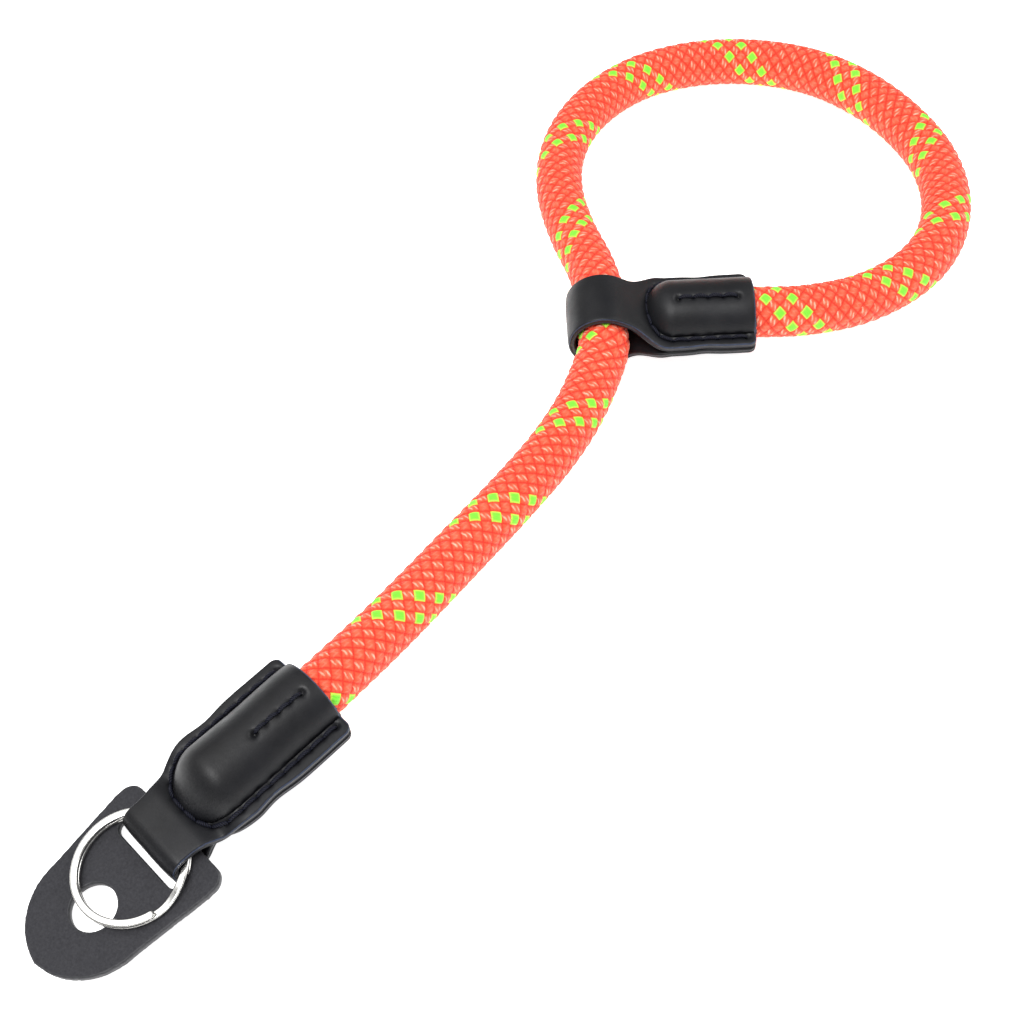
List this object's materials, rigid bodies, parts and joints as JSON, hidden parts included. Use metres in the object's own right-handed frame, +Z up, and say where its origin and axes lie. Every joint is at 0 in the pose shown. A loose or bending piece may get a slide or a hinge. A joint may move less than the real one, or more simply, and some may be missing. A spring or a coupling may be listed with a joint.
{
  "type": "camera hand strap",
  "caption": "Wrist strap of thick braided rope: a leather end sleeve with a protector pad and a split ring at one end, and a sliding leather keeper that closes the wrist loop.",
  "frame": {"origin": "on the flat underside of the end sleeve, straight below the rope's axis, 15.5 mm in from the sleeve's mouth", "axes": "+Z up from the surface the strap lies on; +Y along the end sleeve, from its folded tab towards its mouth and the rope; +X to the right of that, seen from above"},
  "size_m": [0.0974, 0.2582, 0.015],
  "materials": {
    "leather": "smooth black leather with a satin sheen",
    "thread": "waxed black sewing thread",
    "pad_leather": "dark grey leather, matt, with a fine grain",
    "nickel": "bright nickel-plated spring steel",
    "sheath": "plain braid of fluorescent orange-red yarns with two green tracer strands",
    "core": "white twisted yarns"
  },
  "bodies": {
    "strap": {"end_sleeve": "leather", "end_sleeve_edge_needle_thread": "thread", "end_sleeve_edge_bobbin_thread": "thread", "end_sleeve_rope_needle_thread": "thread", "end_sleeve_rope_bobbin_thread": "thread", "rope_sheath": "sheath", "rope_core_strand_1": "core", "rope_core_strand_2": "core", "rope_core_strand_3": "core", "rope_core_strand_4": "core", "rope_core_strand_5": "core", "rope_core_strand_6": "core", "rope_core_strand_7": "core"},
    "keeper": {"keeper": "leather", "keeper_edge_needle_thread": "thread", "keeper_edge_bobbin_thread": "thread", "keeper_rope_needle_thread": "thread", "keeper_rope_bobbin_thread": "thread"},
    "pad": {"protector_pad": "pad_leather"},
    "ring": {"split_ring": "nickel"}
  },
  "joints": [
    {"name": "tab_bend", "type": "hinge", "parent": "strap", "child": "pad", "pos_m": [0, -0.0139, 0.0044], "axis": [-1, 0, 0], "range_deg": [-40, 60], "deforming": ["end_sleeve"]},
    {"name": "ring_spin", "type": "hinge", "parent": "pad", "child": "ring", "pos_m": [0, -0.02542, 0.0043], "axis": [0, -0.068, 0.9977], "continuous": true},
    {"name": "keeper_slide", "type": "slide", "parent": "strap", "child": "keeper", "axis": [-0.7132, 0.7009, 0], "range_m": [-0.012, 0.006], "deforming": ["rope_sheath", "rope_core_strand_1", "rope_core_strand_2", "rope_core_strand_3", "rope_core_strand_4", "rope_core_strand_5", "rope_core_strand_6", "rope_core_strand_7"]}
  ]
}
